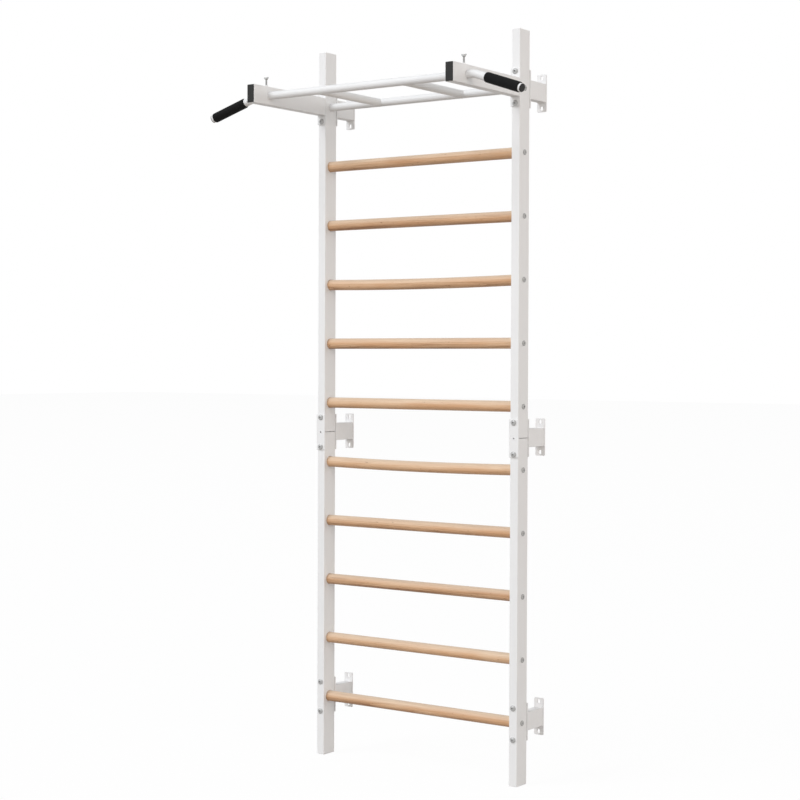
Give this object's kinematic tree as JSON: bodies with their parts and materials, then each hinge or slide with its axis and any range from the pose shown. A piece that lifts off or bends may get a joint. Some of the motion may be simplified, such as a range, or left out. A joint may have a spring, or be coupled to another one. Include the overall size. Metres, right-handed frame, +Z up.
{
  "type": "swedish wall bars",
  "caption": "Tall wall-mounted exercise ladder: steel tube uprights on box brackets, round wooden rungs, and a pull-up frame with bent, swivelling outer handles.",
  "frame": {"origin": "on the wall plane at floor height, midway between the uprights", "axes": "+Z up, +Y into the wall, +X to the right as seen from the front"},
  "size_m": [1.0296, 0.454, 2.025],
  "materials": {
    "powder_white": "white powder coat, satin, very fine texture",
    "wood": "turned pale hardwood, fine lengthwise grain, matt clear coat",
    "zinc": "grey zinc plate",
    "black_plastic": "moulded, matt",
    "white_plastic": "moulded, matt",
    "rubber": "finely knurled sleeve, matt"
  },
  "bodies": {
    "frame": {"left_lower_post": "powder_white", "left_upper_post": "powder_white", "left_splice_plate": "powder_white", "left_pull_up_arm": "powder_white", "left_neutral_grip_tube": "powder_white", "left_foot_wall_bracket": "powder_white", "left_foot_upper_bolt": "zinc", "left_foot_lower_bolt": "zinc", "left_middle_wall_bracket": "powder_white", "left_middle_upper_bolt": "zinc", "left_middle_lower_bolt": "zinc", "left_top_wall_bracket": "powder_white", "left_top_upper_bolt": "zinc", "left_top_lower_bolt": "zinc", "left_post_foot_plug": "white_plastic", "left_post_top_plug": "white_plastic", "left_arm_end_cap": "black_plastic", "right_lower_post": "powder_white", "right_upper_post": "powder_white", "right_splice_plate": "powder_white", "right_pull_up_arm": "powder_white", "right_neutral_grip_tube": "powder_white", "right_foot_wall_bracket": "powder_white", "right_foot_upper_bolt": "zinc", "right_foot_lower_bolt": "zinc", "right_middle_wall_bracket": "powder_white", "right_middle_upper_bolt": "zinc", "right_middle_lower_bolt": "zinc", "right_top_wall_bracket": "powder_white", "right_top_upper_bolt": "zinc", "right_top_lower_bolt": "zinc", "right_post_foot_plug": "white_plastic", "right_post_top_plug": "white_plastic", "right_arm_end_cap": "black_plastic", "front_cross_tube": "powder_white", "rear_cross_tube": "powder_white", "rung_01": "wood", "rung_02": "wood", "rung_03": "wood", "rung_04": "wood", "rung_05": "wood", "rung_06": "wood", "rung_07": "wood", "rung_08": "wood", "rung_09": "wood", "rung_10": "wood"},
    "left_handle": {"left_outer_handle": "powder_white", "left_handle_grip": "rubber", "left_handle_end_plug": "black_plastic"},
    "left_clamp_screw": {"left_wing_screw": "zinc"},
    "right_handle": {"right_outer_handle": "powder_white", "right_handle_grip": "rubber", "right_handle_end_plug": "black_plastic"},
    "right_clamp_screw": {"right_wing_screw": "zinc"}
  },
  "joints": [
    {"name": "left_handle_swivel", "type": "hinge", "parent": "frame", "child": "left_handle", "pos_m": [-0.34, -0.386, 1.869], "axis": [1, 0, 0], "continuous": true},
    {"name": "left_clamp_screw_turn", "type": "hinge", "parent": "frame", "child": "left_clamp_screw", "pos_m": [-0.3275, -0.386, 1.905], "axis": [0, 0, 1], "continuous": true},
    {"name": "right_handle_swivel", "type": "hinge", "parent": "frame", "child": "right_handle", "pos_m": [0.34, -0.386, 1.869], "axis": [1, 0, 0], "continuous": true},
    {"name": "right_clamp_screw_turn", "type": "hinge", "parent": "frame", "child": "right_clamp_screw", "pos_m": [0.3275, -0.386, 1.905], "axis": [0, 0, 1], "continuous": true}
  ]
}
